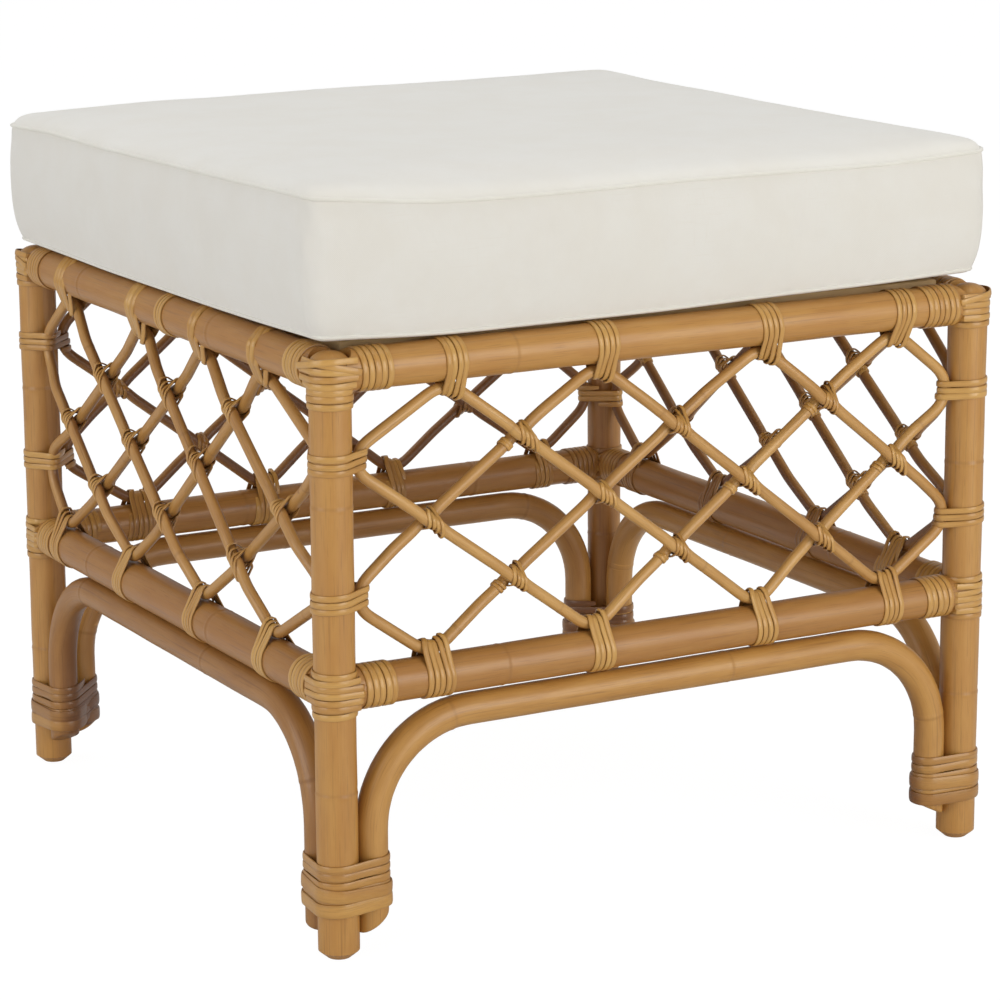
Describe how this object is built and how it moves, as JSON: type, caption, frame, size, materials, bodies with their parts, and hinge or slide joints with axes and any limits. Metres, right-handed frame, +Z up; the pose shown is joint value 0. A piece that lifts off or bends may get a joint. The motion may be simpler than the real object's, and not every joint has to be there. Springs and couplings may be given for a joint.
{
  "type": "outdoor ottoman footstool",
  "caption": "Square rattan footstool with pole legs, arched braces, cane lattice sides, peel bindings and a loose piped box cushion on a slatted deck.",
  "frame": {"origin": "on the floor, at the centre of the footprint", "axes": "+Z up, +X to the right seen from the front, +Y towards the back"},
  "size_m": [0.5351, 0.535, 0.5123],
  "materials": {
    "pole": "satin honey rattan pole",
    "brace": "satin honey rattan, bent",
    "cane": "satin rattan cane",
    "peel": "satin rattan peel",
    "deck": "planed, unvarnished",
    "cover": "woven outdoor cotton, cream",
    "piping": "self piping, cream",
    "zip": "closed coil zip with tape",
    "foam": "open-cell foam"
  },
  "bodies": {
    "frame": {"leg_front_left": "pole", "leg_front_right": "pole", "leg_back_right": "pole", "leg_back_left": "pole", "top_rail_front": "pole", "lower_rail_front": "pole", "arch_front": "brace", "lattice_cane_front_a": "cane", "lattice_cane_front_b": "cane", "top_rail_right": "pole", "lower_rail_right": "pole", "arch_right": "brace", "lattice_cane_right_a": "cane", "lattice_cane_right_b": "cane", "top_rail_back": "pole", "lower_rail_back": "pole", "arch_back": "brace", "lattice_cane_back_a": "cane", "lattice_cane_back_b": "cane", "top_rail_left": "pole", "lower_rail_left": "pole", "arch_left": "brace", "lattice_cane_left_a": "cane", "lattice_cane_left_b": "cane", "top_binding_front_left": "peel", "lower_binding_front_left": "peel", "foot_wrap_front_left": "peel", "leg_lashing_front_left_upper": "peel", "leg_lashing_front_left_lower": "peel", "top_binding_front_right": "peel", "lower_binding_front_right": "peel", "foot_wrap_front_right": "peel", "leg_lashing_front_right_upper": "peel", "leg_lashing_front_right_lower": "peel", "top_binding_back_right": "peel", "lower_binding_back_right": "peel", "foot_wrap_back_right": "peel", "leg_lashing_back_right_upper": "peel", "leg_lashing_back_right_lower": "peel", "top_binding_back_left": "peel", "lower_binding_back_left": "peel", "foot_wrap_back_left": "peel", "leg_lashing_back_left_upper": "peel", "leg_lashing_back_left_lower": "peel", "deck_cleat_left": "deck", "deck_cleat_right": "deck", "deck_slat_1": "deck", "deck_slat_2": "deck", "deck_slat_3": "deck", "deck_slat_4": "deck", "deck_slat_5": "deck", "deck_slat_6": "deck", "deck_slat_7": "deck"},
    "cushion": {"cushion_cover": "cover", "cushion_zip": "zip", "cushion_foam": "foam", "cushion_piping_top": "piping", "cushion_piping_bottom": "piping"}
  },
  "joints": [
    {"name": "cushion_lift", "type": "slide", "parent": "frame", "child": "cushion", "axis": [0, 0, 1], "range_m": [0, 0.13]}
  ]
}
